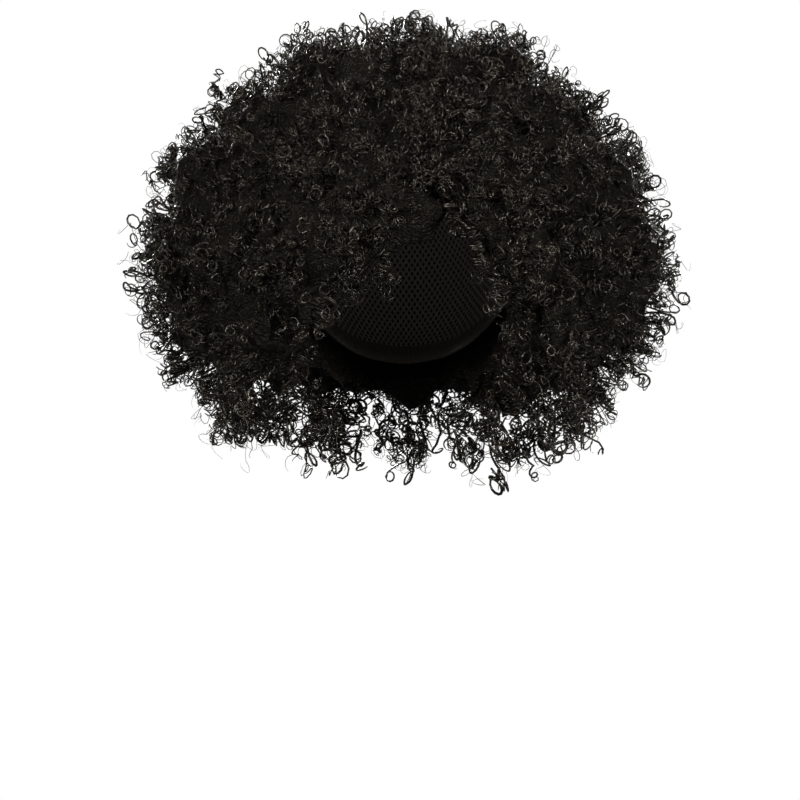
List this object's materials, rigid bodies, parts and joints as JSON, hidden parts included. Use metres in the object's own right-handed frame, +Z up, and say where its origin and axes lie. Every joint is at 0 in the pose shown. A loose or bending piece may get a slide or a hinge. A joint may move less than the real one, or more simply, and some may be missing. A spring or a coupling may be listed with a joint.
{
  "type": "afro wig",
  "caption": "Full rounded wig of tight corkscrew curls on an open stretch cap, with a parted fringe and a gap for the face.",
  "frame": {"origin": "inside of the cap at the top of the head, where the cap sits on it", "axes": "+Z up, -Y the way the face looks, +X to the wearer's left"},
  "size_m": [0.4003, 0.348, 0.3327],
  "materials": {
    "cap_net": "matt black stretch net with a turned hem",
    "hair": "brown-black synthetic fibre in tight corkscrew curls, with a soft low shine"
  },
  "bodies": {
    "root": {"cap": "cap_net", "crown_hair": "hair", "fringe_right": "hair", "fringe_left": "hair", "side_hair_right": "hair", "side_hair_left": "hair", "back_hair": "hair", "nape_hair": "hair"}
  },
  "joints": []
}
